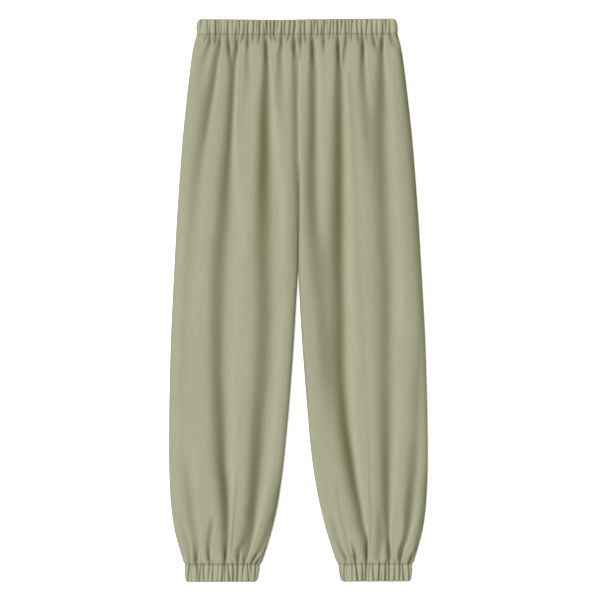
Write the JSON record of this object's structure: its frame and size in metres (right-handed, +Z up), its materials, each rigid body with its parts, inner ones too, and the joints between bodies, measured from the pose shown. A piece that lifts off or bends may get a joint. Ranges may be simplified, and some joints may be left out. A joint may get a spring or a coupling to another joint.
{
  "type": "balloon pants",
  "caption": "Balloon trousers laid flat: gathered elastic waistband, full soft legs that fall over gathered elastic cuffs.",
  "frame": {"origin": "middle of the garment's outline, on the surface that it lies on", "axes": "+Y towards the waist, +Z up out of the garment's front, +X towards the wearer's left leg"},
  "size_m": [0.4604, 1, 0.0168],
  "materials": {
    "leg_cloth": "soft matt sage green cloth",
    "casing_cloth": "soft matt sage green cloth, gathered on elastic"
  },
  "bodies": {
    "root": {"waistband": "casing_cloth", "front_right": "leg_cloth", "front_left": "leg_cloth", "back_right": "leg_cloth", "back_left": "leg_cloth", "cuff_right": "casing_cloth", "cuff_left": "casing_cloth"}
  },
  "joints": []
}
